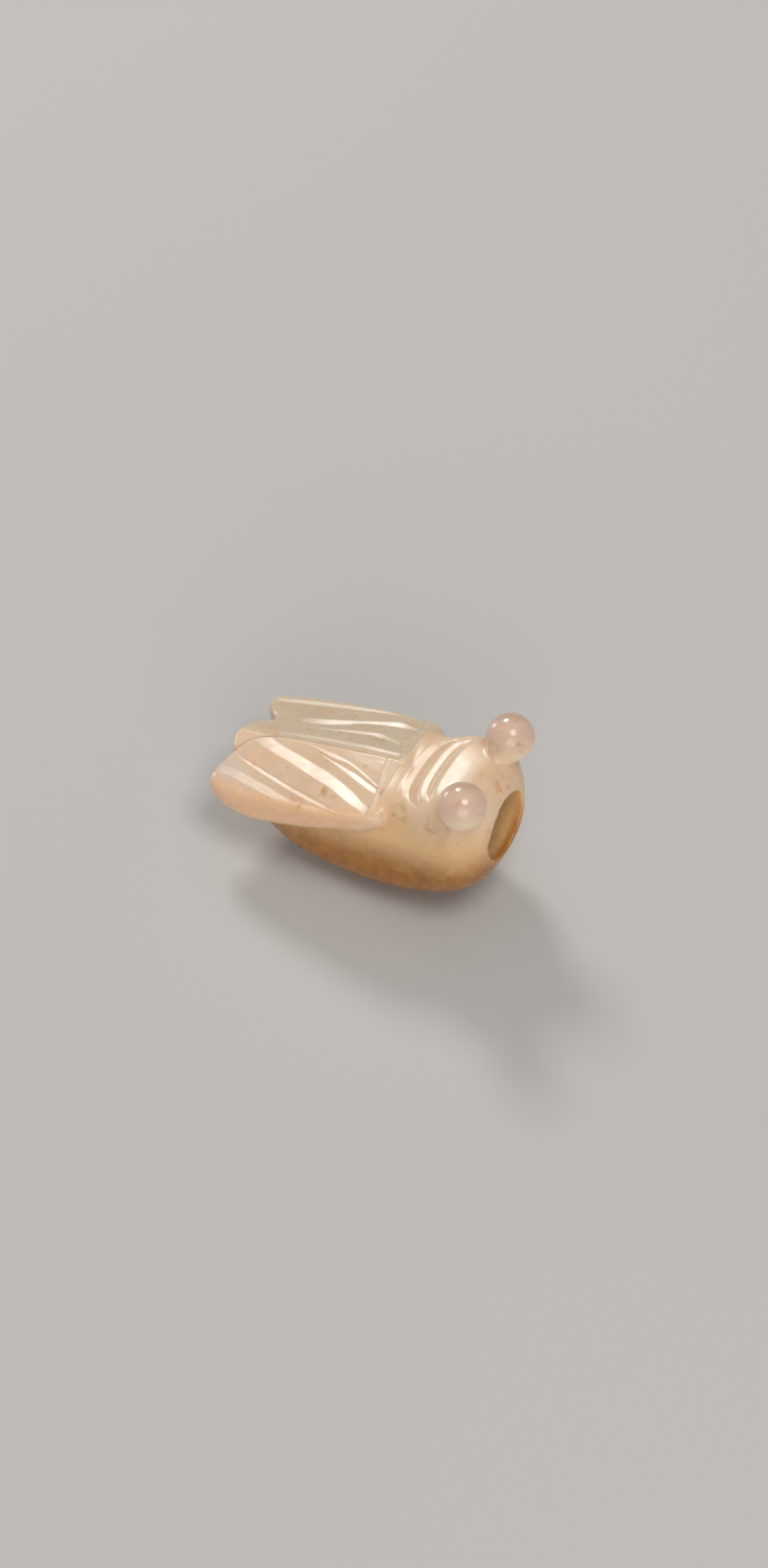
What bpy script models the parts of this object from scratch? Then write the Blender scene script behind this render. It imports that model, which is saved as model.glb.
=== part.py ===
"""A cicada carved from one pebble of jade, lying on its belly.

The head points to +X, the folded wings slope down to the rear and +Z is up. The
origin is on the small flat spot under the belly, in the middle of the outline.
"""
import math

import bmesh
import bpy
from mathutils import Matrix, Vector

# Lengths below are millimetres. Shapes are made in them and scaled to metres at the end.
MM = 0.001

# The trunk is a blunt egg, and the head is a second one that swells from its front.
TRUNK = {
    "centre": (0.0, 0.0, 7.75), "front": 19.0, "rear": 16.0, "half_width": 8.8,
    "above": 9.7, "below": 8.0, "front_power": 4.5, "rear_power": 2.85,
    "back_power": 3.65, "belly_power": 2.4, "rise": 0.005, "bend": 0.014,
}
HEAD = {
    "centre": (13.85, 0.0, 13.45), "front": 3.9, "rear": 8.4, "half_width": 8.3,
    "above": 7.2, "below": 7.2, "front_power": 2.65, "rear_power": 2.3,
    "back_power": 4.0, "belly_power": 4.0, "rise": 0.0, "bend": 0.0,
}
# The eyes are balls, sunk a little into the head's upper corners.
EYE_CENTRE = Vector((15.94, 6.4, 22.2))
EYE_RADIUS = 3.06

# The mouth is a round bore that narrows and dips a little towards its rounded end.
MOUTH_CENTRE = Vector((18.8, 0.0, 13.6))
MOUTH_RADIUS = 4.54
BORE_END_RADIUS = 3.7
BORE_TAPER_LENGTH = 9.0
BORE_DIP = math.radians(9.0)

# The wings lie in two planes that meet in a low ridge and fall to the rear.
RIDGE_START = Vector((3.14, 0.0, 17.85))
WING_SLOPE = 0.285
WING_ROOF = 0.19
WING_EDGE_ROUND = 0.95
WING_UNDER_ROUND = 0.4
# Thickness of the wings' edge at places along X, from the tips to the front.
WING_THICKNESS = ((-19.0, 1.7), (-17.0, 2.0), (-13.0, 2.6), (-8.0, 3.2), (-1.0, 2.9), (6.0, 2.6))
# The outline of both wings seen from above, from the front round the right wing to the left.
WING_OUTLINE = (
    (4.9, 0.0), (5.1, -3.5), (5.7, -6.8), (5.0, -8.8), (-0.1, -9.6), (-6.1, -9.8),
    (-12.1, -9.8), (-16.1, -9.2), (-18.6, -7.8), (-18.95, -6.2), (-17.9, -3.4),
    (-15.9, -1.2), (-14.2, 0.3), (-14.4, 1.9), (-15.3, 3.4), (-17.0, 5.2),
    (-18.2, 7.1), (-17.9, 8.5), (-16.1, 9.2), (-12.1, 9.8), (-6.1, 9.8),
    (-0.1, 9.6), (5.0, 8.8), (5.7, 6.8), (5.1, 3.5),
)
# The end of the abdomen shows between the wing tips, a little lower than they are.
TAIL_OUTLINE = (
    (-7.0, -3.0), (-7.0, 3.0), (-14.0, 3.6), (-17.4, 2.7), (-18.7, 0.0),
    (-17.4, -2.7), (-14.0, -3.6),
)
TAIL_DROP = 0.5
TAIL_THICKNESS_SHARE = 1.15

# Scooped flutes of each wing: start and end as (x, distance from the ridge), half width, depth.
FLUTES = (
    ((-19.5, 5.0), (-5.5, 9.4), 0.95, 0.30),
    ((-19.5, 2.9), (0.8, 9.5), 0.75, 0.35),
    ((-17.5, 0.6), (2.9, 7.9), 1.35, 0.50),
    ((-11.5, -0.3), (3.4, 5.4), 0.85, 0.42),
    ((-5.5, 0.7), (3.4, 3.4), 0.75, 0.35),
)
SEAM_HALF_WIDTH = 0.28
SEAM_DEPTH = 0.35
SEAM_ENDS = (-13.4, 4.0)

# Folds of skin behind the head: place of each groove, the height of the back there, its depth.
NECK_GROOVES = ((5.9, 18.1, 0.60), (8.2, 19.2, 0.60), (10.2, 20.1, 0.45))
NECK_GROOVE_RADIUS = 1.35
NECK_GROOVE_REACH = 13.0
# How far the grooves swing forward at the sides, as a share of the squared distance.
NECK_GROOVE_SWING = 0.02

# Depth of the trunk's back below the wings' upper face, where the wings cover it.
WING_SEAT = 1.5
WING_SEAT_FRONT = 4.0


def in_collection(obj, name):
    """Move an object into the collection of that name, which is made when it is missing."""
    collection = bpy.data.collections.get(name)
    if collection is None:
        collection = bpy.data.collections.new(name)
        bpy.context.scene.collection.children.link(collection)
    for old in list(obj.users_collection):
        old.objects.unlink(obj)
    collection.objects.link(obj)


def put_mesh(name, shape, collection):
    """Make an object from a bmesh that is modelled in millimetres."""
    bmesh.ops.scale(shape, vec=(MM, MM, MM), verts=shape.verts)
    bmesh.ops.recalc_face_normals(shape, faces=shape.faces)
    mesh = bpy.data.meshes.new(name)
    shape.to_mesh(mesh)
    shape.free()
    obj = bpy.data.objects.new(name, mesh)
    bpy.context.scene.collection.objects.link(obj)
    in_collection(obj, collection)
    return obj


def as_helper(obj):
    """Hide a shape that is only joined to the carving or cut out of it."""
    obj.hide_render = True
    obj.display_type = "WIRE"
    return obj


def wing_height(x, y):
    """Height of the wings' upper face."""
    return RIDGE_START.z + WING_SLOPE * (x - RIDGE_START.x) - WING_ROOF * abs(y)


def between(x, places):
    """Read a value between the places of a short list, along a straight line."""
    for (x0, value0), (x1, value1) in zip(places, places[1:]):
        if x <= x1:
            share = max(0.0, (x - x0) / (x1 - x0))
            return value0 + share * (value1 - value0)
    return places[-1][1]


def smooth_outline(corners, steps):
    """Draw a closed smooth curve through the corners, with some steps between each two."""
    points = []
    count = len(corners)
    for i in range(count):
        p0, p1, p2, p3 = (Vector(corners[(i + k) % count]) for k in (-1, 0, 1, 2))
        for step in range(steps):
            t = step / steps
            turn = (p2 - p0) * t + (2 * p0 - 5 * p1 + 4 * p2 - p3) * t * t
            points.append(p1 + (turn + (3 * p1 - p0 - 3 * p2 + p3) * t ** 3) / 2)
    return points


def on_egg(ray, egg):
    """Where a ray from the egg's middle meets it. Higher powers make it blunter."""
    forward = ray.x > 0
    upward = ray.z > 0
    end_power = egg["front_power"] if forward else egg["rear_power"]
    ring_power = egg["back_power"] if upward else egg["belly_power"]
    ring = (abs(ray.y) ** ring_power + abs(ray.z) ** ring_power) ** (1 / ring_power)
    reach = (abs(ray.x) ** end_power + ring ** end_power) ** (1 / end_power)
    x = (egg["front"] if forward else egg["rear"]) * ray.x / reach
    y = egg["half_width"] * ray.y / reach
    z = (egg["above"] if upward else egg["below"]) * ray.z / reach
    return Vector(egg["centre"]) + Vector((x, y, z + egg["rise"] * x + egg["bend"] * x * x))


def make_egg(name, egg, rings, sides, collection):
    """A ball with its poles on X, whose points are pushed out onto the egg."""
    shape = bmesh.new()
    bmesh.ops.create_uvsphere(
        shape, u_segments=sides, v_segments=rings, radius=1.0,
        matrix=Matrix.Rotation(math.radians(90), 4, "Y"),
    )
    for vert in shape.verts:
        vert.co = on_egg(vert.co, egg)
    return put_mesh(name, shape, collection)


def make_ellipsoid(name, centre, half_sizes, along, collection, sides=20, rings=12):
    """A stretched ball whose long axis, its first half size, points along a direction."""
    shape = bmesh.new()
    bmesh.ops.create_uvsphere(
        shape, u_segments=sides, v_segments=rings, radius=1.0,
        matrix=Matrix.Rotation(math.radians(90), 4, "Y"),
    )
    turn = along.to_track_quat("X", "Z").to_matrix().to_4x4()
    stretch = Matrix.Diagonal((*half_sizes, 1.0))
    bmesh.ops.transform(shape, matrix=Matrix.Translation(centre) @ turn @ stretch, verts=shape.verts)
    return put_mesh(name, shape, collection)


def make_plate(name, outline, drop, thickness_share, collection):
    """A flat outline drawn up to a plate, with rounded rims, that is bent into the wings' planes."""
    full = 3.0
    data = bpy.data.curves.new(name, "CURVE")
    data.dimensions = "2D"
    data.fill_mode = "BOTH"
    data.extrude = full / 2
    points = smooth_outline(outline, 4)
    spline = data.splines.new("POLY")
    spline.points.add(len(points) - 1)
    for place, point in zip(spline.points, points):
        place.co = (point.x, point.y, 0.0, 1.0)
    spline.use_cyclic_u = True
    guide = bpy.data.objects.new(name, data)
    bpy.context.scene.collection.objects.link(guide)
    graph = bpy.context.evaluated_depsgraph_get()
    mesh = bpy.data.meshes.new_from_object(guide.evaluated_get(graph))
    shape = bmesh.new()
    shape.from_mesh(mesh)
    bpy.data.objects.remove(guide)
    bpy.data.meshes.remove(mesh)
    bmesh.ops.remove_doubles(shape, verts=shape.verts, dist=0.001)
    round_rim(shape, full / 2, WING_EDGE_ROUND, 3)
    round_rim(shape, -full / 2, WING_UNDER_ROUND, 1)
    for x in (-13.0, -8.0, -1.0):
        split(shape, Vector((x, 0.0, 0.0)), Vector((1.0, 0.0, 0.0)))
    split(shape, Vector((0.0, 0.0, 0.0)), Vector((0.0, 1.0, 0.0)))
    for vert in shape.verts:
        depth = (full / 2 - vert.co.z) / full * between(vert.co.x, WING_THICKNESS) * thickness_share
        vert.co.z = wing_height(vert.co.x, vert.co.y) - drop - depth
    return put_mesh(name, shape, collection)


def round_rim(shape, level, radius, segments):
    """Round the edges of a plate that lie at one level and border its wall."""
    rim = [
        edge for edge in shape.edges
        if all(abs(vert.co.z - level) < 0.001 for vert in edge.verts)
        and edge.calc_face_angle(0.0) > math.radians(45)
    ]
    bmesh.ops.bevel(shape, geom=rim, offset=radius, segments=segments, profile=0.5, affect="EDGES")


def split(shape, place, normal):
    """Cut every face along a plane without opening the shape."""
    everything = list(shape.verts) + list(shape.edges) + list(shape.faces)
    bmesh.ops.bisect_plane(shape, geom=everything, dist=0.0001, plane_co=place, plane_no=normal)


def make_wing_seat(collection):
    """The space that is cleared from the trunk's back for the wings."""
    shape = bmesh.new()
    bmesh.ops.create_cube(shape, size=2.0)
    split(shape, Vector((0.0, 0.0, 0.0)), Vector((0.0, 1.0, 0.0)))
    rear = TRUNK["centre"][0] - TRUNK["rear"] - 2.0
    for vert in shape.verts:
        x = WING_SEAT_FRONT if vert.co.x > 0 else rear
        y = vert.co.y * (TRUNK["half_width"] + 2.0)
        floor = wing_height(x, y) - WING_SEAT
        vert.co = (x, y, floor if vert.co.z < 0 else floor + 12.0)
    return put_mesh("wing_seat", shape, collection)


def make_flute(name, side, flute, collection):
    """A long slender scoop that cuts to its depth halfway and runs out at both ends."""
    (x0, y0), (x1, y1), half_width, depth = flute
    start = Vector((x0, side * y0, 0.0))
    end = Vector((x1, side * y1, 0.0))
    for point in (start, end):
        point.z = RIDGE_START.z + WING_SLOPE * (point.x - RIDGE_START.x) - WING_ROOF * side * point.y
    radius = (half_width ** 2 + depth ** 2) / (2 * depth)
    share = math.sqrt(1 - ((radius - depth) / radius) ** 2)
    half_length = (end - start).length / 2 / share
    normal = Vector((-WING_SLOPE, WING_ROOF * side, 1.0)).normalized()
    centre = (start + end) / 2 + normal * (radius - depth)
    return make_ellipsoid(name, centre, (half_length, radius, radius), end - start, collection, 28, 16)


def make_seam(collection):
    """A narrow square bar on its edge, which cuts the line between the two wings."""
    shape = bmesh.new()
    bmesh.ops.create_cube(shape, size=2.0)
    for vert in shape.verts:
        x = SEAM_ENDS[1] if vert.co.x > 0 else SEAM_ENDS[0]
        across = (vert.co.y + vert.co.z) / 2
        upward = (vert.co.z - vert.co.y) / 2
        vert.co = (x, across * SEAM_HALF_WIDTH, wing_height(x, 0.0) + upward * SEAM_DEPTH)
    return put_mesh("seam", shape, collection)


def make_neck_groove(name, groove, collection):
    """A long ball laid across the back, whose ends are swung forward."""
    x, back, depth = groove
    obj = make_ellipsoid(
        name, Vector((x, 0.0, back + NECK_GROOVE_RADIUS - depth)),
        (NECK_GROOVE_REACH, NECK_GROOVE_RADIUS, NECK_GROOVE_RADIUS),
        Vector((0.0, 1.0, 0.0)), collection, 20, 28,
    )
    for vert in obj.data.vertices:
        vert.co.x += NECK_GROOVE_SWING * vert.co.y ** 2 / MM
    return obj


def make_bore(collection):
    """The mouth's cutter: a turned profile that starts outside the face and ends in a dome."""
    outside = 3.0
    flare = MOUTH_RADIUS + (MOUTH_RADIUS - BORE_END_RADIUS) * outside / BORE_TAPER_LENGTH
    profile = [(0.0, outside), (flare, outside), (MOUTH_RADIUS, 0.0)]
    dome_steps = 6
    for step in range(dome_steps + 1):
        turn = math.radians(90) * step / dome_steps
        radius = 0.0 if step == dome_steps else BORE_END_RADIUS * math.cos(turn)
        profile.append((radius, -BORE_TAPER_LENGTH - BORE_END_RADIUS * math.sin(turn)))
    mesh = bpy.data.meshes.new("mouth_bore")
    edges = [(i, i + 1) for i in range(len(profile) - 1)]
    mesh.from_pydata([(radius * MM, 0.0, height * MM) for radius, height in profile], edges, [])
    obj = bpy.data.objects.new("mouth_bore", mesh)
    bpy.context.scene.collection.objects.link(obj)
    in_collection(obj, collection)
    screw = obj.modifiers.new("turn", "SCREW")
    screw.steps = 40
    screw.render_steps = 40
    screw.use_merge_vertices = True
    screw.merge_threshold = 0.00001
    obj.location = MOUTH_CENTRE * MM
    obj.rotation_euler = (0.0, math.radians(90) - BORE_DIP, 0.0)
    return obj


def make_flat_spot(collection):
    """A block below the origin's level, which cuts the small flat spot under the belly."""
    shape = bmesh.new()
    bmesh.ops.create_cube(shape, size=2.0)
    for vert in shape.verts:
        vert.co = (vert.co.x * 12.0, vert.co.y * 8.0, vert.co.z * 2.0 - 2.0)
    return put_mesh("flat_spot", shape, collection)


def jade_material():
    """Polished pale jade."""
    material = bpy.data.materials.new("polished_jade")
    material.use_nodes = True
    shader = material.node_tree.nodes["Principled BSDF"]
    shader.inputs["Base Color"].default_value = (0.62, 0.45, 0.27, 1.0)
    shader.inputs["Roughness"].default_value = 0.18
    shader.inputs["Metallic"].default_value = 0.0
    return material


def combine(obj, name, operation, partner=None, group=None):
    """Add a Boolean with one object, or with all the objects of a collection."""
    boolean = obj.modifiers.new(name, "BOOLEAN")
    boolean.operation = operation
    boolean.solver = "EXACT"
    if group is None:
        boolean.object = partner
    else:
        boolean.operand_type = "COLLECTION"
        boolean.collection = bpy.data.collections[group]


def build():
    """Join the carved shapes to the trunk and cut the hollows and grooves out of them."""
    for old in list(bpy.data.objects):
        bpy.data.objects.remove(old)
    cicada = make_egg("cicada", TRUNK, 36, 48, "jade_cicada")
    seat = as_helper(make_wing_seat("seats"))
    as_helper(make_egg("head", HEAD, 24, 40, "added_shapes"))
    as_helper(make_plate("wings", WING_OUTLINE, 0.0, 1.0, "added_shapes"))
    as_helper(make_plate("tail", TAIL_OUTLINE, TAIL_DROP, TAIL_THICKNESS_SHARE, "added_shapes"))
    for side, word in ((-1, "right"), (1, "left")):
        centre = Vector((EYE_CENTRE.x, side * EYE_CENTRE.y, EYE_CENTRE.z))
        ball = (EYE_RADIUS, EYE_RADIUS, EYE_RADIUS)
        outward = Vector((0.0, side, 0.0))
        as_helper(make_ellipsoid("eye_" + word, centre, ball, outward, "added_shapes", 28, 18))
        for number, flute in enumerate(FLUTES, 1):
            as_helper(make_flute(f"flute_{word}_{number}", side, flute, "cutters"))
    as_helper(make_seam("cutters"))
    as_helper(make_bore("cutters"))
    as_helper(make_flat_spot("cutters"))
    for number, groove in enumerate(NECK_GROOVES, 1):
        as_helper(make_neck_groove(f"neck_groove_{number}", groove, "cutters"))
    combine(cicada, "wing seat", "DIFFERENCE", partner=seat)
    combine(cicada, "added shapes", "UNION", group="added_shapes")
    combine(cicada, "cutters", "DIFFERENCE", group="cutters")
    cicada.data.materials.append(jade_material())
    cicada.data.shade_smooth()
    cicada.data.set_sharp_from_angle(angle=math.radians(35))


build()
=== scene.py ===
"""The looks of the carved jade cicada: its fine carving, its stone, a pale floor, light and camera.

The carving is one fine mesh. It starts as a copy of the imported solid, and each of its points is
moved onto a smooth form that the functions below describe: a form's value is negative inside the
stone, positive outside and about the distance in millimetres. Carved hollows raise that value.
The mesh also keeps marks, numbers from 0 to 1 that tell the stone's shader where each point lies.
"""
import math

import bmesh
import bpy
import numpy as np
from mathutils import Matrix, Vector


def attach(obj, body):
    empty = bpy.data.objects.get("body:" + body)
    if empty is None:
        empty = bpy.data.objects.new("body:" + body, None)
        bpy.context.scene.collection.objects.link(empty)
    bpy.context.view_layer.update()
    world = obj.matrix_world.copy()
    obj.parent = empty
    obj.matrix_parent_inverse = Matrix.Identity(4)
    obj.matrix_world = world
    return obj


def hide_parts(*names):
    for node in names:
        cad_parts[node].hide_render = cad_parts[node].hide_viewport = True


# The forms are worked out in millimetres in the part's own frame.
MM = 0.001

# The trunk and the head are blunt eggs that melt into each other.
TRUNK = {
    "centre": (0.0, 0.0, 7.75), "front": 19.0, "rear": 16.0, "half_width": 8.8,
    "above": 9.7, "below": 8.0, "front_power": 4.5, "rear_power": 2.85,
    "back_power": 3.65, "belly_power": 2.4, "rise": 0.005, "bend": 0.014,
}
HEAD = {
    "centre": (13.85, 0.0, 13.45), "front": 3.9, "rear": 8.4, "half_width": 8.3,
    "above": 7.2, "below": 7.2, "front_power": 2.65, "rear_power": 2.3,
    "back_power": 4.0, "belly_power": 4.0, "rise": 0.0, "bend": 0.0,
}
HEAD_MELT = 1.5
EYE_CENTRE = (15.94, 6.4, 22.2)
EYE_RADIUS = 3.03
EYE_MELT = 0.9

MOUTH_CENTRE = (18.8, 0.0, 13.6)
MOUTH_RADIUS = 4.54
BORE_END_RADIUS = 3.7
BORE_TAPER_LENGTH = 9.0
BORE_DIP = math.radians(9.0)

# The wings lie in two planes that meet in a low ridge and fall to the rear.
RIDGE_START = (3.14, 17.85)
WING_SLOPE = 0.285
WING_ROOF = 0.19
# Place along X, and how thick the plates are there.
WING_THICKNESS = ((-19.0, 1.7), (-17.0, 2.7), (-13.0, 3.9), (-8.0, 3.9), (-1.0, 2.9), (6.0, 2.6))
# Radius of the rims, of the right wing's inner edge, and what the right rim loses towards the front.
WING_ROUND = 0.95
WING_INNER_ROUND = 0.2
WING_OUTER_FLAT = 0.5
# The left rim is tighter by this much round the end of the abdomen.
LOBE_TIGHTENING = 0.5
# The left wing lies this much lower.
LEFT_WING_DROP = 0.07
WING_OVERLAP_MELT = 0.08
WING_BODY_MELT = 0.6
# The trunk's back stays this far below the wings' faces.
BACK_DROP = 1.6
BACK_MELT = 0.5
# Behind this place it falls away further: by so much for each millimetre, and at most by so much.
BACK_FALL_START = -6.0
BACK_FALL = 0.12
BACK_FALL_LIMIT = 2.0
# Ahead of this place nothing keeps it down.
BACK_END = 4.4
# The edges of the mouth and of the flat spot under the belly are rounded over these widths.
MOUTH_EDGE = 0.25
BELLY_EDGE = 0.1
RIGHT_WING = (
    (4.9, -0.2), (5.1, -3.5), (5.7, -6.8), (5.0, -8.8), (-0.1, -9.6), (-6.1, -9.78),
    (-12.1, -9.78), (-16.1, -9.2), (-18.6, -7.8), (-18.95, -6.2), (-18.5, -4.3), (-17.55, -2.55),
    (-16.3, -1.1), (-14.7, -0.3), (-12.5, 0.1), (-9.0, 0.22), (-4.0, 0.12), (1.5, 0.0), (4.2, 0.0),
)
# The left wing lies under the right one, in one plate with the end of the abdomen.
LEFT_WING = (
    (4.9, 0.0), (5.1, 3.5), (5.7, 6.8), (5.0, 8.8), (-0.1, 9.6), (-6.1, 9.8),
    (-12.1, 9.7), (-16.1, 9.2), (-17.9, 8.5), (-18.2, 7.1), (-17.0, 5.2),
    (-15.7, 3.9), (-16.3, 3.2), (-17.8, 2.3), (-18.8, 0.5), (-18.7, -1.3), (-17.6, -2.8),
    (-14.5, -3.6), (-10.0, -2.0), (2.0, -1.2), (4.7, -1.0),
)


def melt(first, second, width):
    """The union of two forms, with the joint filled over a width."""
    share = np.clip(0.5 + 0.5 * (second - first) / width, 0.0, 1.0)
    return second * (1 - share) + first * share - width * share * (1 - share)


def cut(form, hollow, width):
    """A form with another one taken out of it, and a rounded edge."""
    return -melt(-form, hollow, width)


def ease(low, high, value):
    """A smooth step from 0 at low to 1 at high."""
    share = np.clip((value - low) / (high - low), 0.0, 1.0)
    return share * share * (3 - 2 * share)


def egg(x, y, z, shape):
    """A blunt egg along X."""
    forward = x - shape["centre"][0]
    upward = z - shape["centre"][2] - shape["rise"] * forward - shape["bend"] * forward ** 2
    ahead = forward > 0
    above = upward > 0
    along = np.abs(forward) / np.where(ahead, shape["front"], shape["rear"])
    end_power = np.where(ahead, shape["front_power"], shape["rear_power"])
    ring_power = np.where(above, shape["back_power"], shape["belly_power"])
    height = np.abs(upward) / np.where(above, shape["above"], shape["below"])
    ring = ((np.abs(y) / shape["half_width"]) ** ring_power + height ** ring_power) ** (1 / ring_power)
    size = (along ** end_power + ring ** end_power) ** (1 / end_power)
    return (size - 1) * shape["half_width"]


def eye_distance(x, y, z):
    """The distance to the centre of the nearer eye."""
    return np.sqrt((x - EYE_CENTRE[0]) ** 2 + (np.abs(y) - EYE_CENTRE[1]) ** 2 + (z - EYE_CENTRE[2]) ** 2)


def wing_height(x, y):
    """Height of the wings' upper planes."""
    return RIDGE_START[1] + WING_SLOPE * (x - RIDGE_START[0]) - WING_ROOF * np.abs(y)


def smooth_outline(corners, steps=6):
    """A closed smooth curve through the corners."""
    corners = np.array(corners)
    before, after, beyond = (np.roll(corners, -k, axis=0) for k in (-1, 1, 2))
    rows = []
    for t in np.arange(steps) / steps:
        turn = (after - before) * t + (2 * before - 5 * corners + 4 * after - beyond) * t ** 2
        rows.append(corners + (turn + (3 * corners - before - 3 * after + beyond) * t ** 3) / 2)
    return np.stack(rows, axis=1).reshape(-1, 2)


class PlanMap:
    """Values kept on a fine grid over X and Y, and read between its points."""

    low = np.array((-22.0, -13.0))
    step = 0.05
    counts = (660, 521)

    def __init__(self, values):
        self.values = values

    @classmethod
    def places(cls):
        """X and Y of the grid's points."""
        x = cls.low[0] + cls.step * np.arange(cls.counts[0])[:, None]
        y = cls.low[1] + cls.step * np.arange(cls.counts[1])[None, :]
        return x, y

    def at(self, x, y):
        """The value at each place."""
        across = np.clip((x - self.low[0]) / self.step, 0, self.counts[0] - 1.001)
        along = np.clip((y - self.low[1]) / self.step, 0, self.counts[1] - 1.001)
        i, j = across.astype(int), along.astype(int)
        u, v = across - i, along - j
        low = self.values[i, j] * (1 - v) + self.values[i, j + 1] * v
        high = self.values[i + 1, j] * (1 - v) + self.values[i + 1, j + 1] * v
        return low * (1 - u) + high * u


def outline_map(corners):
    """The distance to a closed outline, negative inside."""
    x, y = PlanMap.places()
    ends = smooth_outline(corners)
    starts = np.roll(ends, 1, axis=0)
    nearest = np.full(PlanMap.counts, 1e9)
    inside = np.zeros(PlanMap.counts, bool)
    for (ax, ay), (bx, by) in zip(starts, ends):
        run = ((x - ax) * (bx - ax) + (y - ay) * (by - ay)) / ((bx - ax) ** 2 + (by - ay) ** 2)
        run = np.clip(run, 0.0, 1.0)
        square = (x - ax - run * (bx - ax)) ** 2 + (y - ay - run * (by - ay)) ** 2
        nearest = np.minimum(nearest, square)
        if ay != by:
            inside ^= ((y >= ay) != (y >= by)) & (x < ax + (y - ay) * (bx - ax) / (by - ay))
    return PlanMap(np.sqrt(nearest) * np.where(inside, -1.0, 1.0))


# Carved lines of each wing, from the ridge outwards. Each is a run of points: place along X,
# distance from the ridge, and height above the wing's plane. Between two lines the surface runs straight.
RIGHT_LINES = (
    ((-7.0, -0.4, 0.0), (-1.5, -0.4, -0.02), (1.8, -0.4, -0.10), (3.4, -0.4, -0.22)),
    ((-7.0, -0.2, 0.0), (-1.5, 0.4, 0.0), (1.8, 0.9, 0.02), (3.4, 1.2, 0.06)),
    ((-7.0, 0.0, 0.0), (-1.5, 1.2, 0.02), (1.8, 2.1, 0.07), (3.4, 2.5, 0.15)),
    ((-10.0, 0.1, 0.0), (-6.9, 0.55, 0.0), (-4.5, 1.0, 0.0), (-2.7, 1.55, 0.0), (3.4, 4.3, -0.02)),
    ((-10.0, 0.13, 0.0), (-6.9, 0.95, 0.06), (-4.5, 1.7, 0.10), (-2.7, 1.9, 0.06), (3.4, 4.52, 0.03)),
    ((-10.4, 0.16, 0.0), (-6.6, 1.15, -0.03), (-5.3, 1.62, -0.03), (-3.55, 2.2, -0.05), (-2.0, 2.7, -0.06),
     (-0.3, 3.25, -0.07), (1.4, 3.9, -0.07), (3.5, 4.75, -0.06)),
    ((-10.4, 0.2, 0.0), (-6.6, 1.3, 0.0), (-5.3, 1.88, 0.01), (-3.55, 2.58, 0.02), (-2.0, 3.27, 0.04),
     (-0.3, 4.0, 0.06), (1.4, 4.72, 0.07), (3.5, 5.5, 0.07)),
    ((-16.5, -1.0, 0.0), (-12.3, 1.0, -0.03), (-8.45, 2.25, -0.06), (-4.4, 3.6, -0.08), (-2.7, 4.27, -0.08),
     (-0.9, 5.1, -0.08), (1.0, 6.05, -0.07), (2.3, 6.85, -0.06), (3.5, 7.4, -0.05)),
    ((-16.5, 0.9, 0.12), (-12.5, 2.6, 0.22), (-9.9, 3.43, 0.24), (-6.6, 4.67, 0.25), (-3.3, 5.8, 0.23),
     (-1.5, 6.55, 0.22), (0.3, 7.4, 0.19), (1.9, 7.98, 0.09), (3.5, 8.4, -0.01)),
    ((-17.8, 3.3, 0.0), (-12.8, 4.9, -0.02), (-7.9, 6.55, -0.03), (-4.9, 7.45, -0.03), (-1.75, 8.4, -0.03),
     (0.35, 9.25, 0.0)),
    ((-17.8, 3.33, 0.0), (-12.8, 4.98, -0.10), (-7.9, 6.63, -0.13), (-4.9, 7.53, -0.15), (-1.75, 8.48, -0.13),
     (0.35, 9.27, 0.0)),
    ((-17.8, 3.5, 0.0), (-12.8, 5.48, 0.0), (-7.9, 7.2, -0.01), (-4.6, 8.25, 0.0), (-3.0, 8.72, 0.01),
     (-1.4, 9.1, 0.01), (0.35, 9.3, 0.0)),
    ((-16.5, 5.6, -0.06), (-11.0, 7.2, -0.10), (-6.5, 8.7, -0.12)),
    ((-16.5, 6.8, 0.04), (-11.0, 8.45, 0.02), (-6.5, 9.6, -0.06)),
)
LEFT_LINES = (
    ((-16.0, 0.2, -0.03), (3.8, 0.3, -0.03)),
    ((-16.0, 0.75, -0.05), (-5.5, 0.95, -0.06), (3.8, 0.85, -0.06)),
    ((-16.0, 1.05, -0.03), (-12.0, 1.3, 0.02), (-5.5, 1.5, 0.06), (3.8, 1.4, 0.06)),
    ((-11.5, 2.9, 0.0), (-7.4, 3.28, -0.03), (-4.2, 3.6, -0.06), (-0.9, 3.75, -0.08), (2.2, 3.15, -0.04)),
    ((-11.5, 3.0, 0.0), (-7.4, 3.5, 0.02), (-4.3, 4.0, 0.04), (-1.1, 4.32, 0.06), (2.2, 3.42, 0.03)),
    ((-13.0, 4.0, 0.0), (-10.6, 3.95, -0.06), (-7.35, 4.6, -0.12), (-4.0, 5.8, -0.08), (0.9, 6.5, -0.12),
     (3.4, 6.38, -0.02)),
    ((-13.0, 4.6, 0.0), (-11.0, 4.9, 0.10), (-8.0, 5.45, 0.10), (-5.0, 6.15, 0.06), (-1.9, 6.9, 0.08),
     (0.6, 7.4, 0.10), (3.4, 6.6, 0.02)),
    ((-13.0, 4.7, 0.0), (-11.0, 5.02, -0.01), (-8.0, 5.57, -0.02), (-5.0, 6.27, -0.02), (-1.9, 7.02, -0.02),
     (0.6, 7.52, -0.02), (3.4, 6.7, 0.0)),
    ((-17.7, 7.0, -0.03), (-12.0, 7.75, -0.07), (-6.0, 8.3, -0.07), (-1.0, 8.65, -0.05), (2.5, 8.4, 0.0)),
    ((-17.7, 7.7, 0.08), (-12.0, 8.4, 0.08), (-6.0, 8.85, 0.07), (-1.0, 9.1, 0.05), (2.5, 8.7, 0.0)),
)
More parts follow.
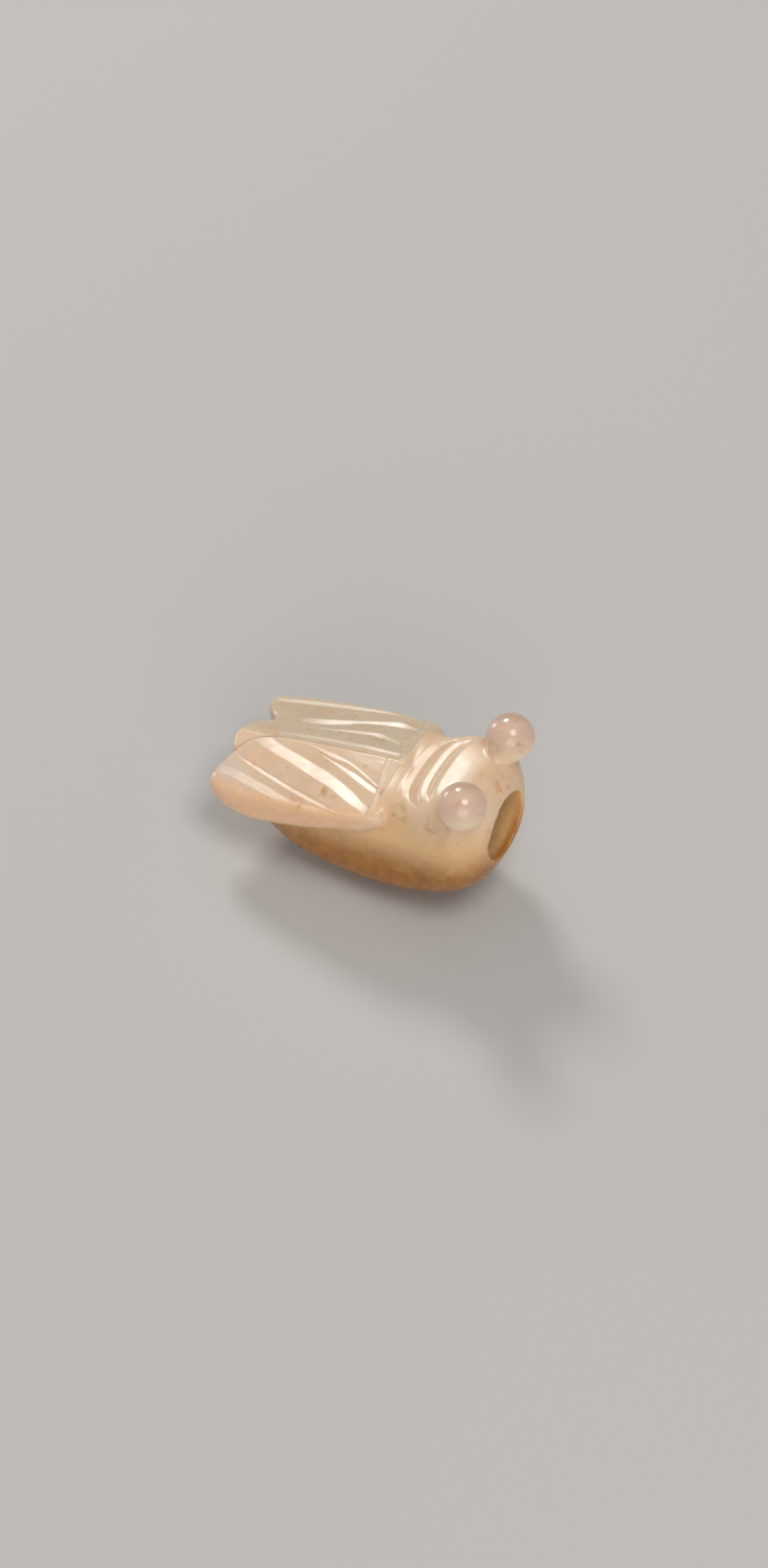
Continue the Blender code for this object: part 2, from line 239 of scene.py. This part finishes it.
# The carved field ends in a crease below a raised front strip: distance from the ridge, place along X.
RIGHT_FRONT = ((0.0, 2.2), (2.4, 2.8), (4.4, 3.3), (7.0, 3.8), (10.0, 3.9))
LEFT_FRONT = ((0.0, 3.9), (0.9, 3.8), (2.3, 2.95), (3.5, 2.4), (5.0, 3.0), (6.5, 3.5), (10.0, 3.0))
# Beyond the last line the surface falls to this distance and height.
RIM_LINE = (12.0, -0.5)
# The field sinks to this depth at its front crease, over this length.
FIELD_DEPTH = 0.2
FIELD_FADE = 5.5
# A fine lip stands along the crease.
FRONT_LIP = 0.045
FRONT_LIP_PLACE = 0.1
FRONT_LIP_WIDTH = 0.22
# The strip ahead of it falls forwards by the first number, and near the rim by the second as well.
FRONT_FALL = (0.05, 0.3)
# At the front the right wing's rim is rounder, and the wing melts into the neck over this much more.
FRONT_ROUND = 1.1
FRONT_MELT = 0.9

# Folds behind the head: place along X, and depth below the plain form.
NECK_PROFILE = (
    (5.0, 0.0), (5.9, 0.04), (6.1, 0.085), (6.5, 0.21), (7.0, 0.39), (7.55, 0.80), (7.65, 0.83),
    (8.15, 0.315), (8.45, 0.205), (8.65, 0.215), (9.05, 0.34), (9.45, 0.44), (9.8, 0.65), (9.9, 0.665),
    (10.35, 0.225), (10.6, 0.10), (10.85, 0.05), (12.0, 0.06), (12.6, 0.03), (13.2, 0.0),
)
# The folds are read at three places this far apart, which rounds their corners.
NECK_SOFTNESS = 0.06
# How far they swing forwards with the square and the fourth power of the distance from the middle.
NECK_SWING = (0.014, 0.0008)
# The folds fade between these distances from the middle, and sooner towards the head.
NECK_REACH = (7.6, 4.3)
NECK_NARROWING = 0.35
# They begin at the first of these heights and are full at the second.
NECK_HEIGHTS = (13.0, 15.0)


def smooth_run(places, values, at):
    """Read a smooth curve through a few points, and keep its end values beyond them."""
    places, values = np.array(places), np.array(values)
    slopes = np.gradient(values, places)
    at = np.clip(at, places[0], places[-1])
    i = np.clip(np.searchsorted(places, at) - 1, 0, len(places) - 2)
    width = places[i + 1] - places[i]
    t = (at - places[i]) / width
    start = values[i] * (1 + 2 * t) * (1 - t) ** 2 + slopes[i] * width * t * (1 - t) ** 2
    end = values[i + 1] * t * t * (3 - 2 * t) + slopes[i + 1] * width * t * t * (t - 1)
    return start + end


def relief_map(lines, front_line, side):
    """Height of the carving above a wing's plane."""
    x, y = PlanMap.places()
    across = side * y + 0.0 * x
    places = [[smooth_run(*(np.array(line).T[[0, row]]), x) for row in (1, 2)] for line in lines]
    places.append([np.full_like(x, RIM_LINE[0]), np.full_like(x, RIM_LINE[1])])
    height = places[0][1] + 0.0 * across
    for (v0, h0), (v1, h1) in zip(places, places[1:]):
        height = height + (h1 - h0) * np.clip((across - v0) / np.maximum(v1 - v0, 0.05), 0.0, 1.0)
    front = np.interp(across, *zip(*front_line))
    field = height - FIELD_DEPTH * ease(-FIELD_FADE, 0.0, x - front)
    fall = FRONT_FALL[0] + FRONT_FALL[1] * ease(4.5, 7.5, across)
    lip = FRONT_LIP * np.exp(-((x - front - FRONT_LIP_PLACE) / FRONT_LIP_WIDTH) ** 2)
    strip = lip - fall * ease(front + 0.3, front + 2.3, x)
    height = np.where(x < front, field, strip)
    for axis in (0, 1):
        height = (np.roll(height, 1, axis) + 2 * height + np.roll(height, -1, axis)) / 4
    return PlanMap(height)


def neck_place(x, y):
    """The place along X where the fold through a point crosses the middle."""
    return x - NECK_SWING[0] * y ** 2 - NECK_SWING[1] * y ** 4


def slab(x, y, z, outline, drop, relief, rounding):
    """A plate with a rounded rim between a wing's plane and its underside."""
    plane = wing_height(x, y) - drop
    thickness = np.interp(x, *zip(*WING_THICKNESS))
    top = plane + relief
    bottom = plane - thickness
    rim = outline.at(x, y) + rounding
    face = np.abs(z - (top + bottom) / 2) - (top - bottom) / 2 + rounding
    corner = np.hypot(np.maximum(rim, 0.0), np.maximum(face, 0.0))
    return np.minimum(np.maximum(rim, face), 0.0) + corner - rounding


class Carving:
    """The whole carved form."""

    def __init__(self):
        self.right = outline_map(RIGHT_WING)
        self.left = outline_map(LEFT_WING)
        self.right_relief = relief_map(RIGHT_LINES, RIGHT_FRONT, -1)
        self.left_relief = relief_map(LEFT_LINES, LEFT_FRONT, 1)

    def wings(self, x, y, z):
        """Both wings, the right one over the left."""
        inner = WING_INNER_ROUND + (WING_ROUND - WING_INNER_ROUND) * ease(-1.0, -4.0, y)
        inner = inner - WING_OUTER_FLAT * ease(-9.0, -3.5, x) * ease(-5.0, -8.0, y)
        inner = inner + (FRONT_ROUND - inner) * ease(3.4, 5.0, x)
        right = slab(x, y, z, self.right, 0.0, self.right_relief.at(x, y), inner)
        end = WING_ROUND - LOBE_TIGHTENING * ease(-14.5, -16.5, x) * ease(5.0, 3.0, y)
        left = slab(x, y, z, self.left, LEFT_WING_DROP, self.left_relief.at(x, y), end)
        return melt(right, left, WING_OVERLAP_MELT)

    def trunk(self, x, y, z):
        """The trunk, whose back is kept below the wings' faces, and the head."""
        fall = np.clip((BACK_FALL_START - x) * BACK_FALL, 0.0, BACK_FALL_LIMIT)
        lid = z - (wing_height(x, y) - BACK_DROP - fall)
        lid = np.where(x < BACK_END, lid, -9.0)
        body = -melt(-egg(x, y, z, TRUNK), -lid, BACK_MELT)
        return melt(body, egg(x, y, z, HEAD), HEAD_MELT)

    def bore(self, x, y, z):
        """The mouth's bore, which narrows to a round end."""
        out = (math.cos(BORE_DIP), math.sin(BORE_DIP))
        rise = (x - MOUTH_CENTRE[0]) * out[0] + (z - MOUTH_CENTRE[2]) * out[1]
        side = (z - MOUTH_CENTRE[2]) * out[0] - (x - MOUTH_CENTRE[0]) * out[1]
        away = np.hypot(y, side)
        taper = (MOUTH_RADIUS - BORE_END_RADIUS) / BORE_TAPER_LENGTH
        cone = away - MOUTH_RADIUS - taper * rise
        dome = np.hypot(away, rise + BORE_TAPER_LENGTH) - BORE_END_RADIUS
        return np.where(rise < -BORE_TAPER_LENGTH, dome, cone)

    def folds(self, x, y, z):
        """How deep the neck's folds lie below the plain form."""
        swung = neck_place(x, y)
        reach = np.abs(y) + NECK_NARROWING * (swung - 7.0)
        fade = ease(*NECK_REACH, reach) * ease(*NECK_HEIGHTS, z)
        shifts = (-NECK_SOFTNESS, 0.0, NECK_SOFTNESS)
        return sum(np.interp(swung + shift, *zip(*NECK_PROFILE)) for shift in shifts) * fade / 3

    def at(self, points):
        """The form's value at each point."""
        x, y, z = points.T
        form = self.trunk(x, y, z) + self.folds(x, y, z)
        width = WING_BODY_MELT + FRONT_MELT * ease(3.6, 5.6, x) * ease(2.0, -1.0, y) * ease(-8.8, -5.0, y)
        form = melt(form, self.wings(x, y, z), width)
        form = melt(form, eye_distance(x, y, z) - EYE_RADIUS, EYE_MELT)
        form = cut(form, self.bore(x, y, z), MOUTH_EDGE)
        return cut(form, z, BELLY_EDGE)

    def gradient(self, points):
        """How the form's value changes along X, Y and Z."""
        reach = 0.02
        columns = []
        for axis in np.eye(3):
            step = axis * reach
            columns.append((self.at(points + step) - self.at(points - step)) / (2 * reach))
        return np.stack(columns, axis=1)

    def settle(self, points, rounds):
        """Move points onto the surface along the gradient."""
        for _ in range(rounds):
            gradient = self.gradient(points)
            square = np.maximum((gradient ** 2).sum(axis=1), 0.2)
            move = -gradient * (self.at(points) / square)[:, None]
            length = np.maximum(np.linalg.norm(move, axis=1), 1e-9)
            points = points + move * np.minimum(1.0, 0.3 / length)[:, None]
        return points


def mesh_points(mesh):
    """A mesh's points in millimetres."""
    flat = np.empty(len(mesh.vertices) * 3)
    mesh.vertices.foreach_get("co", flat)
    return flat.reshape(-1, 3) / MM


def set_mesh_points(mesh, points):
    """Put points in millimetres back into a mesh."""
    mesh.vertices.foreach_set("co", (points * MM).astype(np.float32).ravel())
    mesh.update()


def even_out(mesh, points, share):
    """Move each point towards the middle of its neighbours."""
    ends = np.empty(len(mesh.edges) * 2, np.int32)
    mesh.edges.foreach_get("vertices", ends)
    first, second = ends[::2], ends[1::2]
    count = np.bincount(ends, minlength=len(points))[:, None]
    total = np.zeros_like(points)
    for axis in range(3):
        total[:, axis] = np.bincount(first, points[second, axis], len(points))
        total[:, axis] += np.bincount(second, points[first, axis], len(points))
    return points + share * (total / count - points)


def smooth_out(mesh, points, carving, rounds):
    """Even the points out over the surface, a few times, and put them into the mesh."""
    for _ in range(rounds):
        points = carving.settle(even_out(mesh, points, 0.5), 2)
    set_mesh_points(mesh, points)
    return points


def refine(mesh, chosen):
    """Split the edges of the chosen faces in two, and fill in."""
    shape = bmesh.new()
    shape.from_mesh(mesh)
    shape.verts.ensure_lookup_table()
    edges = [edge for edge in shape.edges if all(chosen[vert.index] for vert in edge.verts)]
    bmesh.ops.subdivide_edges(shape, edges=edges, cuts=1, use_grid_fill=True)
    large = [face for face in shape.faces if len(face.verts) > 4]
    bmesh.ops.triangulate(shape, faces=large)
    shape.to_mesh(mesh)
    shape.free()


# The mesh starts from cells of this size, and its carved parts are then split twice: down to a
# depth below the wings' faces, and above a height on the neck.
VOXEL = 0.435
WIDE_ZONE = (1.6, 15.5)
CLOSE_ZONE = (0.9, 16.34)


def carved_zone(points, depth, height):
    """The points on the wings' faces, and on the folds of the neck."""
    x, y, z = points.T
    wings = (x < 6.5) & (z > wing_height(x, y) - depth)
    neck = (x > 4.0) & (x < 12.2) & (z > height) & (np.abs(y) < NECK_REACH[0])
    return wings | neck


def joint_zone(points):
    """The points round the eyes' feet and on the mouth's rim."""
    x, y, z = points.T
    eye = eye_distance(x, y, z)
    foot = (eye < EYE_RADIUS + 1.2) & (z < EYE_CENTRE[2] - 0.8)
    rim = (x > 16.0) & (np.hypot(y, z - MOUTH_CENTRE[2]) < MOUTH_RADIUS + 0.9)
    return foot | rim


def carve(node):
    """The fine mesh of the whole carving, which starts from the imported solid."""
    rough = bpy.data.objects.new("rough", node.data.copy())
    bpy.context.scene.collection.objects.link(rough)
    remesh = rough.modifiers.new("voxels", "REMESH")
    remesh.mode = "VOXEL"
    remesh.voxel_size = VOXEL * MM
    graph = bpy.context.evaluated_depsgraph_get()
    mesh = bpy.data.meshes.new_from_object(rough.evaluated_get(graph))
    bpy.data.objects.remove(rough)
    carving = Carving()
    points = carving.settle(mesh_points(mesh), 3)
    points = smooth_out(mesh, points, carving, 12)
    refine(mesh, carved_zone(points, *WIDE_ZONE) | joint_zone(points))
    points = smooth_out(mesh, mesh_points(mesh), carving, 5)
    refine(mesh, carved_zone(points, *CLOSE_ZONE))
    smooth_out(mesh, mesh_points(mesh), carving, 4)
    mesh.name = "carving"
    mesh.shade_smooth()
    mesh.materials.clear()
    mark_stone(mesh, carving)
    piece = bpy.data.objects.new("cicada_carving", mesh)
    bpy.context.scene.collection.objects.link(piece)
    return piece


def set_numbers(mesh, name, values):
    """Keep a number, or three, for each point of the mesh, where the stone's shader reads them."""
    kind = "FLOAT" if values.ndim == 1 else "FLOAT_VECTOR"
    field = "value" if values.ndim == 1 else "vector"
    attribute = mesh.attributes.new(name, kind, "POINT")
    attribute.data.foreach_set(field, values.astype(np.float32).ravel())


# Rusty marks: centre and radius.
STAINS = (
    ((-3.2, -6.6, 14.8), 0.7), ((-5.2, -9.0, 13.8), 1.0), ((7.4, -7.2, 17.1), 1.3),
    ((12.5, -8.0, 18.0), 0.9), ((17.6, 0.9, 19.0), 1.3), ((12.0, -7.0, 6.0), 2.0),
    ((18.2, 4.8, 23.5), 0.9), ((15.0, 3.5, 22.4), 0.9), ((4.2, -5.1, 17.1), 0.6),
)
# The eyes' painted shade, on their darker side: the direction it faces, and how far up that way it begins and
# is full.
SHADE_AXIS = (-0.354, 0.666, 0.656)
SHADE_RANGE = (1.2, 2.9)
# How much each wing's lines fan out, outwards for each millimetre forwards.
RIGHT_FAN = -0.34
LEFT_FAN = 0.17


def wing_marks(x, y, carving, on_wings):
    """The wings' thin rims, grey tip, painted shade along the seam, the left half, whose colour is darkened
    as painted shade, and deeply scratched bevels.
    """
    rim = np.minimum(np.abs(carving.right.at(x, y)), np.abs(carving.left.at(x, y)))
    thin = on_wings * ease(2.2, 0.2, rim) * ease(6.0, 0.0, x) * ease(-1.5, -5.0, y)
    tip = on_wings * np.exp(-((x + 17.2) ** 2 + (y + 5.6) ** 2) / 2.0 ** 2)
    # Painted shade along the right wing's inner edge, where it lies over the left one.
    edge = ease(0.20, 0.05, np.abs(carving.right.at(x, y)))
    seam = on_wings * edge * ease(-3.6, -2.6, y) * ease(4.2, 3.4, x)
    # The left half, whose colour is darkened as painted shade.
    far = on_wings * ease(-0.2, 1.5, y)
    outer = np.exp(-((-y - 8.0 - 0.29 * (x + 10.5)) / 0.9) ** 2)
    outer = outer * ease(-4.5, -8.0, x) * ease(-18.6, -17.0, x)
    inner = np.exp(-((x + 12.5) / 2.5) ** 2 - ((y + 1.6) / 1.2) ** 2)
    scored = on_wings * ease(0.8, 1.8, rim)
    return {"thin": thin, "tip": tip, "seam": seam, "far": far}, np.maximum(outer, inner), scored


def eye_marks(x, y, z):
    """The milky eyes, with a painted glow below and painted shade on one side."""
    milky = ease(EYE_RADIUS + 0.5, EYE_RADIUS + 0.05, eye_distance(x, y, z))
    aside = SHADE_AXIS[1] * (np.abs(y) - EYE_CENTRE[1]) * np.sign(y) + SHADE_AXIS[2] * (z - EYE_CENTRE[2])
    shade = milky * ease(*SHADE_RANGE, aside + SHADE_AXIS[0] * (x - EYE_CENTRE[0]))
    return {"milky": milky, "eye_glow": milky * ease(23.8, 20.2, z), "shade": shade}


def mark_stone(mesh, carving):
    """Keep the marks at each point, and which way the stone was polished."""
    points = mesh_points(mesh)
    x, y, z = points.T
    on_wings = ease(0.3, 0.0, carving.wings(x, y, z))
    marks, bevels, scored = wing_marks(x, y, carving, on_wings)
    marks.update(eye_marks(x, y, z))
    stone = 1 - marks["milky"]
    marks["pale"] = np.maximum(on_wings, ease(14.5, 19.0, z))
    # Amber towards the bottom: the stone's own amber, made darker there as painted shade.
    marks["amber_and_shade"] = ease(13.2, 6.0, z - 0.12 * x) * (1 - on_wings) * stone
    # Painted shade inside the mouth's bore, darker further in.
    marks["bore"] = ease(0.3, 0.0, carving.bore(x, y, z)) * ease(18.6, 17.4, x)
    marks["bore_depth_shade"] = marks["bore"] * ease(17.6, 12.5, x)
    marks["stain"] = np.zeros_like(x)
    for place, radius in STAINS:
        away = ((points - np.array(place)) ** 2).sum(axis=1)
        marks["stain"] = np.maximum(marks["stain"], np.exp(-away / radius ** 2))
    scored = np.maximum(scored, ease(10.5, 11.3, x) * ease(19.5, 20.3, z))
    marks["scored"] = scored * stone * (1.0 - 0.4 * marks["far"]) * (0.7 + 1.6 * bevels)
    marks["dull"] = ease(4.0, 5.0, x) * (0.5 + 0.5 * ease(11.3, 10.3, x)) * ease(15.0, 17.0, z) * stone
    for name, values in marks.items():
        set_numbers(mesh, name, values)
    on_neck = x > 4.8
    along = np.where(on_neck, y, x)
    across = np.where(on_neck, neck_place(x, y), y - np.where(y < 0, RIGHT_FAN, LEFT_FAN) * x)
    set_numbers(mesh, "grain", np.stack([along, across, 0.3 * z], axis=1))


def new_node(tree, kind, **settings):
    """A shader node with some of its settings filled in."""
    node = tree.nodes.new(kind)
    for name, value in settings.items():
        setattr(node, name, value)
    return node


def fill(tree, socket, value):
    """Give an input a plain value, or the value of another socket."""
    if isinstance(value, bpy.types.NodeSocket):
        tree.links.new(value, socket)
    elif isinstance(value, tuple) and len(socket.default_value) == 4:
        socket.default_value = (*value, 1.0)
    else:
        socket.default_value = value


def read_number(tree, name):
    """A number kept on the mesh."""
    return new_node(tree, "ShaderNodeAttribute", attribute_name=name).outputs["Fac"]


def blend_colour(tree, share, first, second):
    """A mix of two colours, each a plain colour or a socket."""
    mix = tree.nodes.new("ShaderNodeMix")
    mix.data_type = "RGBA"
    for place, value in ((0, share), (6, first), (7, second)):
        fill(tree, mix.inputs[place], value)
    return mix.outputs[2]


def blend_number(tree, share, first, second):
    """A mix of two numbers, each a plain number or a socket."""
    mix = tree.nodes.new("ShaderNodeMix")
    for place, value in ((0, share), (2, first), (3, second)):
        fill(tree, mix.inputs[place], value)
    return mix.outputs[0]


def noise(tree, place, size, detail=3.0, roughness=0.5):
    """Cloudy noise whose lumps are about that size."""
    node = new_node(tree, "ShaderNodeTexNoise")
    node.inputs["Scale"].default_value = 1.0 / size
    node.inputs["Detail"].default_value = detail
    node.inputs["Roughness"].default_value = roughness
    tree.links.new(place, node.inputs["Vector"])
    return node.outputs["Fac"]


def ramp(tree, value, low, high, ends=(0.0, 1.0), course="SMOOTHSTEP"):
    """A value brought from between low and high to between two ends."""
    node = new_node(tree, "ShaderNodeMapRange", interpolation_type=course)
    for name, number in zip(("Value", "From Min", "From Max", "To Min", "To Max"), (value, low, high, *ends)):
        fill(tree, node.inputs[name], number)
    return node.outputs["Result"]


def calculate(tree, operation, first, second):
    """A sum or product of two numbers, each a plain number or a socket."""
    node = tree.nodes.new("ShaderNodeMath")
    node.operation = operation
    fill(tree, node.inputs[0], first)
    fill(tree, node.inputs[1], second)
    return node.outputs["Value"]


def multiply(tree, first, second):
    """The product of two numbers."""
    return calculate(tree, "MULTIPLY", first, second)


# What the mesh says about the stone at each point.
MARKS = ("pale", "milky", "eye_glow", "shade", "bore", "bore_depth_shade", "amber_and_shade", "thin", "tip", "far", "seam",
         "stain", "scored", "dull")

HEAD_COLOUR = (0.85, 0.56, 0.29)
WING_COLOUR = (0.84, 0.635, 0.45)
# The left wing's colour, darkened as painted shade.
FAR_WING_SHADE_COLOUR = (0.70, 0.565, 0.41)
EYE_COLOUR = (0.76, 0.57, 0.45)
# Painted glow on the eyes' lower half, and painted shade on their upper side.
EYE_GLOW_COLOUR = (1.0, 0.84, 0.62)
EYE_SHADE_COLOUR = (0.62, 0.44, 0.33)
# Amber of the lower body with painted shade in it, and a darker painted shade in mottled patches.
AMBER_SHADE_COLOUR = (0.50, 0.205, 0.012)
DARK_AMBER_SHADE_COLOUR = (0.26, 0.08, 0.005)
# Painted shade inside the mouth's bore, darker further in.
BORE_SHADE_COLOUR = (0.72, 0.47, 0.22)
DEEP_BORE_SHADE_COLOUR = (0.42, 0.20, 0.06)
THIN_COLOUR = (0.90, 0.60, 0.38)
TIP_COLOUR = (0.74, 0.64, 0.56)
CLOUD_COLOUR = (0.66, 0.40, 0.20)
RUSSET_COLOUR = (0.56, 0.25, 0.06)
SPECK_COLOUR = (0.10, 0.05, 0.03)
# Painted shade along the seam between the wings.
SEAM_SHADE_COLOUR = (0.36, 0.22, 0.12)

# Depth of the scratches in millimetres, and roughness of the stone, of the neck and of the eyes.
SCRATCH_DEPTH = 0.026
SATIN_ROUGHNESS = (0.22, 0.34)
NECK_ROUGHNESS = 0.32
EYE_ROUGHNESS = 0.17


def stone_colour(tree, place, marks):
    """The stone's colour with painted shade and glow in it: each mark's own, then clouds, stains, flecks and
    specks.
    """
    colour = blend_colour(tree, marks["pale"], HEAD_COLOUR, WING_COLOUR)
    # Painted shade on the left wing.
    colour = blend_colour(tree, marks["far"], colour, FAR_WING_SHADE_COLOUR)
    clouds = ramp(tree, noise(tree, place, 4.0 * MM, 4.0, 0.6), 0.46, 0.70)
    colour = blend_colour(tree, multiply(tree, clouds, 0.30), colour, CLOUD_COLOUR)
    # Painted shade: the lower body turns a darker amber, darker still in mottled patches.
    mottle = ramp(tree, noise(tree, place, 1.6 * MM, 6.0, 0.72), 0.30, 0.62)
    depth = multiply(tree, marks["amber_and_shade"], mottle)
    colour = blend_colour(tree, marks["amber_and_shade"], colour, AMBER_SHADE_COLOUR)
    colour = blend_colour(tree, multiply(tree, depth, 0.6), colour, DARK_AMBER_SHADE_COLOUR)
    # Painted shade inside the mouth's bore, darker further in.
    colour = blend_colour(tree, marks["bore"], colour, BORE_SHADE_COLOUR)
    colour = blend_colour(tree, marks["bore_depth_shade"], colour, DEEP_BORE_SHADE_COLOUR)
    colour = blend_colour(tree, marks["thin"], colour, THIN_COLOUR)
    # Grey-white mottling near the right wing's tip.
    tip_mottle = ramp(tree, noise(tree, place, 1.1 * MM, 5.0, 0.7), 0.30, 0.58)
    colour = blend_colour(tree, multiply(tree, marks["tip"], tip_mottle), colour, TIP_COLOUR)
    # Painted shade along the seam between the wings.
    colour = blend_colour(tree, multiply(tree, marks["seam"], 0.5), colour, SEAM_SHADE_COLOUR)
    colour = blend_colour(tree, marks["milky"], colour, EYE_COLOUR)
    # Painted glow on the eyes' lower half, and painted shade on their upper side.
    colour = blend_colour(tree, marks["eye_glow"], colour, EYE_GLOW_COLOUR)
    colour = blend_colour(tree, marks["shade"], colour, EYE_SHADE_COLOUR)
    rust = ramp(tree, noise(tree, place, 1.2 * MM, 4.0, 0.55), 0.46, 0.64)
    rust = multiply(tree, multiply(tree, rust, marks["stain"]), 0.75)
    colour = blend_colour(tree, rust, colour, RUSSET_COLOUR)
    flecks = ramp(tree, noise(tree, place, 1.3 * MM, 3.0, 0.5), 0.60, 0.80)
    colour = blend_colour(tree, multiply(tree, flecks, 0.45), colour, RUSSET_COLOUR)
    specks = ramp(tree, noise(tree, place, 0.5 * MM, 1.0, 0.5), 0.785, 0.81)
    colour = blend_colour(tree, multiply(tree, specks, 0.8), colour, SPECK_COLOUR)
    return colour


def stone_relief(tree, place, marks):
    """Fine scratches along the polish, and pits."""
    grain = new_node(tree, "ShaderNodeAttribute", attribute_name="grain").outputs["Vector"]
    stretch = new_node(tree, "ShaderNodeVectorMath", operation="MULTIPLY")
    tree.links.new(grain, stretch.inputs[0])
    stretch.inputs[1].default_value = (0.3, 7.0, 1.0)
    scratches = noise(tree, stretch.outputs["Vector"], 1.0, 3.0, 0.6)
    worn = ramp(tree, noise(tree, place, 3.0 * MM, 2.0, 0.5), 0.30, 0.50)
    scored = multiply(tree, marks["scored"], worn)
    pits = noise(tree, place, 0.35 * MM, 3.0, 0.6)
    relief = multiply(tree, scored, calculate(tree, "SUBTRACT", scratches, 0.5))
    relief = calculate(tree, "ADD", relief, multiply(tree, pits, 0.12))
    bump = tree.nodes.new("ShaderNodeBump")
    bump.inputs["Strength"].default_value = 1.0
    bump.inputs["Distance"].default_value = SCRATCH_DEPTH * MM
    tree.links.new(relief, bump.inputs["Height"])
    return bump.outputs["Normal"]


def stone_gloss(tree, place, marks):
    """How rough the polish is: satin on the body, duller on the neck and wet on the eyes."""
    satin = ramp(tree, noise(tree, place, 2.0 * MM, 4.0, 0.6), 0.2, 0.8, SATIN_ROUGHNESS, "LINEAR")
    satin = blend_number(tree, marks["dull"], satin, NECK_ROUGHNESS)
    return blend_number(tree, marks["milky"], satin, EYE_ROUGHNESS)


def jade():
    """Polished, translucent pale jade, amber lower down where it is darkened as painted shade, with russet
    flecks and fine scratches.
    """
    material = bpy.data.materials.new("pale_jade")
    material.use_nodes = True
    tree = material.node_tree
    shader = tree.nodes["Principled BSDF"]
    place = new_node(tree, "ShaderNodeTexCoord").outputs["Object"]
    marks = {name: read_number(tree, name) for name in MARKS}
    tree.links.new(stone_colour(tree, place, marks), shader.inputs["Base Color"])
    tree.links.new(stone_gloss(tree, place, marks), shader.inputs["Roughness"])
    tree.links.new(stone_relief(tree, place, marks), shader.inputs["Normal"])
    shader.inputs["Subsurface Weight"].default_value = 0.85
    shader.inputs["Subsurface Radius"].default_value = (1.0, 0.55, 0.28)
    shader.inputs["Subsurface Scale"].default_value = 2.0 * MM
    shader.inputs["IOR"].default_value = 1.65
    return material


FLOOR_COLOUR = (0.6, 0.59, 0.58, 1.0)
SKY_COLOUR = (1.0, 0.98, 0.96, 1.0)
SKY_STRENGTH = 0.26
# Each light: name, direction it stands in, distance, width, power and colour.
LIGHTS = (
    ("key", (-0.546, 0.537, 0.643), 0.7, 0.17, 1.55, (1.0, 0.985, 0.96)),
    ("top", (0.353, -0.185, 0.918), 0.7, 0.36, 1.65, (1.0, 0.985, 0.96)),
    ("rim", (-0.95, 0.24, 0.12), 0.6, 0.16, 0.4, (0.97, 0.98, 1.0)),
    ("front", (0.50, -0.80, 0.30), 0.9, 0.80, 2.8, (1.0, 0.97, 0.93)),
)
# What the camera looks at, its turn and height as angles, its distance and the height of its frame.
AIM = Vector((5.4, -6.9, 21.2)) * MM
CAMERA_ANGLES = (math.radians(28.0), math.radians(49.0))
CAMERA_DISTANCE = 1.2
FRAME_HEIGHT = 0.1922


def make_floor():
    """A plain pale floor."""
    bpy.ops.mesh.primitive_plane_add(size=4.0, location=(0.0, 0.0, 0.0))
    floor = bpy.context.object
    floor.name = "floor"
    material = bpy.data.materials.new("pale_floor")
    material.use_nodes = True
    shader = material.node_tree.nodes["Principled BSDF"]
    shader.inputs["Base Color"].default_value = FLOOR_COLOUR
    shader.inputs["Roughness"].default_value = 0.8
    floor.data.materials.append(material)


def make_light(name, towards, distance, size, power, colour):
    """A round soft light that faces the object."""
    data = bpy.data.lights.new(name, "AREA")
    data.shape = "DISK"
    data.size = size
    data.energy = power
    data.color = colour
    light = bpy.data.objects.new(name, data)
    bpy.context.scene.collection.objects.link(light)
    direction = Vector(towards).normalized()
    light.location = AIM + direction * distance
    light.rotation_euler = direction.to_track_quat("Z", "Y").to_euler()


def make_camera():
    """A long lens at the photograph's angle and framing."""
    azimuth, elevation = CAMERA_ANGLES
    back = Vector((
        math.sin(azimuth) * math.cos(elevation), -math.cos(azimuth) * math.cos(elevation),
        math.sin(elevation),
    ))
    data = bpy.data.cameras.new("camera")
    camera = bpy.data.objects.new("camera", data)
    bpy.context.scene.collection.objects.link(camera)
    data.sensor_width = 36.0
    data.lens = data.sensor_width * CAMERA_DISTANCE / FRAME_HEIGHT
    data.clip_start = 0.05
    data.clip_end = 20.0
    camera.location = AIM + back * CAMERA_DISTANCE
    camera.rotation_euler = back.to_track_quat("Z", "Y").to_euler()
    bpy.context.scene.camera = camera


def make_world():
    """A soft even sky."""
    world = bpy.data.worlds.new("studio")
    world.use_nodes = True
    sky = world.node_tree.nodes["Background"]
    sky.inputs["Color"].default_value = SKY_COLOUR
    sky.inputs["Strength"].default_value = SKY_STRENGTH
    bpy.context.scene.world = world
    bpy.context.scene.view_settings.view_transform = "Standard"


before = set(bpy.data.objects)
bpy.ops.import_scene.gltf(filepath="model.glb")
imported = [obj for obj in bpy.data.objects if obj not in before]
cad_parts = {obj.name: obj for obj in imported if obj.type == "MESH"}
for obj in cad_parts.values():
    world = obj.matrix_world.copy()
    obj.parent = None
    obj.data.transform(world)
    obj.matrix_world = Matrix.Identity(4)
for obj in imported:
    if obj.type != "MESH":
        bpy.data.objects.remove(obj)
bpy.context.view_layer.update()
cicada = carve(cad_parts["cicada"])
cicada.data.materials.append(jade())
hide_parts("cicada")
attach(cicada, "root")
make_floor()
make_camera()
for light in LIGHTS:
    make_light(*light)
make_world()
